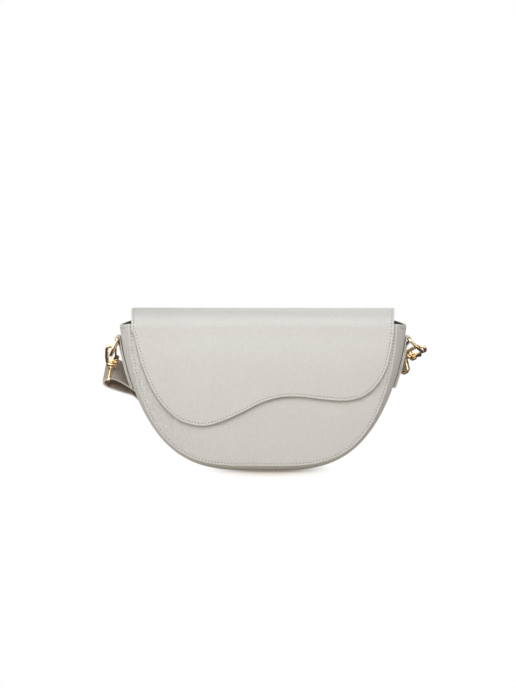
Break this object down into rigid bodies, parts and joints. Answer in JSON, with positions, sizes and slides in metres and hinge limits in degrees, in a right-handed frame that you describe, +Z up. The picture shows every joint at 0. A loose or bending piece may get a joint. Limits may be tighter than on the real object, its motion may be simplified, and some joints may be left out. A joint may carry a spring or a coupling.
{
  "type": "shoulder bag",
  "caption": "Half-moon leather shoulder bag: wavy magnetic flap, bowed gusset, side tabs with D-rings, swivel snap clips and a detachable strap folded behind",
  "frame": {"origin": "On the flat spot under the gusset, midway between the panels and below the middle of the flap", "axes": "+X to the bag's right seen from the front, +Y from the front panel to the back, +Z up; the flap closes over the -Y side"},
  "size_m": [0.3045, 0.1298, 0.1498],
  "materials": {
    "leather_outside": "pale grey pebbled leather, satin",
    "leather_strap": "warm grey pebbled leather, suede underside",
    "lining": "dark brown matt lining",
    "board": "stiffening board",
    "gold_metal": "polished pale gold plating",
    "spring_steel": "bare spring steel",
    "magnet_plate": "nickel plated magnet and keeper"
  },
  "bodies": {
    "root": {"front_panel": "leather_outside", "back_panel": "leather_outside", "gusset": "leather_outside", "front_stiffener": "board", "back_stiffener": "board", "front_lining": "lining", "back_lining": "lining", "gusset_lining": "lining", "inner_pocket": "lining", "body_magnet": "magnet_plate", "flap_anchor": "leather_outside", "left_tab": "leather_outside", "right_tab": "leather_outside", "strap": "leather_strap"},
    "flap_top": {"flap_crown": "leather_outside"},
    "flap_front": {"flap_front": "leather_outside", "flap_lining": "lining", "flap_magnet": "magnet_plate"},
    "left_ring": {"left_d_ring": "gold_metal"},
    "left_hook": {"left_hook": "gold_metal", "left_gate_pin": "gold_metal", "left_gate_spring": "spring_steel"},
    "left_gate": {"left_gate": "gold_metal"},
    "left_eye": {"left_swivel_eye": "gold_metal"},
    "left_strap_end": {"left_strap_loop": "leather_strap"},
    "right_ring": {"right_d_ring": "gold_metal"},
    "right_hook": {"right_hook": "gold_metal", "right_gate_pin": "gold_metal", "right_gate_spring": "spring_steel"},
    "right_gate": {"right_gate": "gold_metal"},
    "right_eye": {"right_swivel_eye": "gold_metal"},
    "right_strap_end": {"right_strap_loop": "leather_strap"}
  },
  "joints": [
    {"name": "flap_lift", "type": "hinge", "parent": "root", "child": "flap_top", "pos_m": [0, 0.0361, 0.1315], "axis": [-1, 0, 0], "range_deg": [0, 110]},
    {"name": "flap_fold", "type": "hinge", "parent": "flap_top", "child": "flap_front", "pos_m": [0, -0.0366, 0.1315], "axis": [-1, 0, 0], "range_deg": [0, 55]},
    {"name": "left_ring_swing", "type": "hinge", "parent": "root", "child": "left_ring", "pos_m": [-0.13452, 0, 0.1216], "axis": [0, 1, 0], "range_deg": [0, 130]},
    {"name": "left_hook_swing", "type": "hinge", "parent": "left_ring", "child": "left_hook", "pos_m": [-0.14117, 0.005, 0.10666], "axis": [0.1768, 0.9005, 0.3972], "range_deg": [0, 30]},
    {"name": "left_gate_press", "type": "hinge", "parent": "left_hook", "child": "left_gate", "pos_m": [-0.13763, 0.01136, 0.09919], "axis": [-0.0699, -0.7431, -0.6655], "range_deg": [0, 6], "stiffness_Nm_per_rad": 0.01, "springref_deg": -5.73},
    {"name": "left_swivel_turn", "type": "hinge", "parent": "left_hook", "child": "left_eye", "pos_m": [-0.14297, 0.01537, 0.09526], "axis": [-0.0777, 0.6691, -0.7391], "range_deg": [-90, 0]},
    {"name": "left_strap_pivot", "type": "hinge", "parent": "left_eye", "child": "left_strap_end", "pos_m": [-0.14394, 0.02374, 0.08603], "axis": [0.0699, 0.7431, 0.6655], "range_deg": [-8, 45]},
    {"name": "right_ring_swing", "type": "hinge", "parent": "root", "child": "right_ring", "pos_m": [0.13452, 0, 0.1216], "axis": [0, -1, 0], "range_deg": [0, 100]},
    {"name": "right_hook_swing", "type": "hinge", "parent": "right_ring", "child": "right_hook", "pos_m": [0.14603, 0.0061, 0.11086], "axis": [0.3879, -0.8477, -0.3618], "range_deg": [0, 40]},
    {"name": "right_gate_press", "type": "hinge", "parent": "right_hook", "child": "right_gate", "pos_m": [0.14242, 0.01784, 0.1037], "axis": [-0.3647, -0.5642, -0.7407], "range_deg": [0, 5], "stiffness_Nm_per_rad": 0.01, "springref_deg": -5.73},
    {"name": "right_swivel_turn", "type": "hinge", "parent": "right_hook", "child": "right_eye", "pos_m": [0.13551, 0.02124, 0.10451], "axis": [-0.5221, 0.7826, -0.339], "range_deg": [-5, 15]},
    {"name": "right_strap_pivot", "type": "hinge", "parent": "right_eye", "child": "right_strap_end", "pos_m": [0.12898, 0.03103, 0.10027], "axis": [-0.1873, 0.2826, 0.9408], "range_deg": [-30, 8]}
  ],
  "couplings": [
    {"joint": "flap_fold", "follows": "flap_lift", "ratio": 0.5}
  ]
}
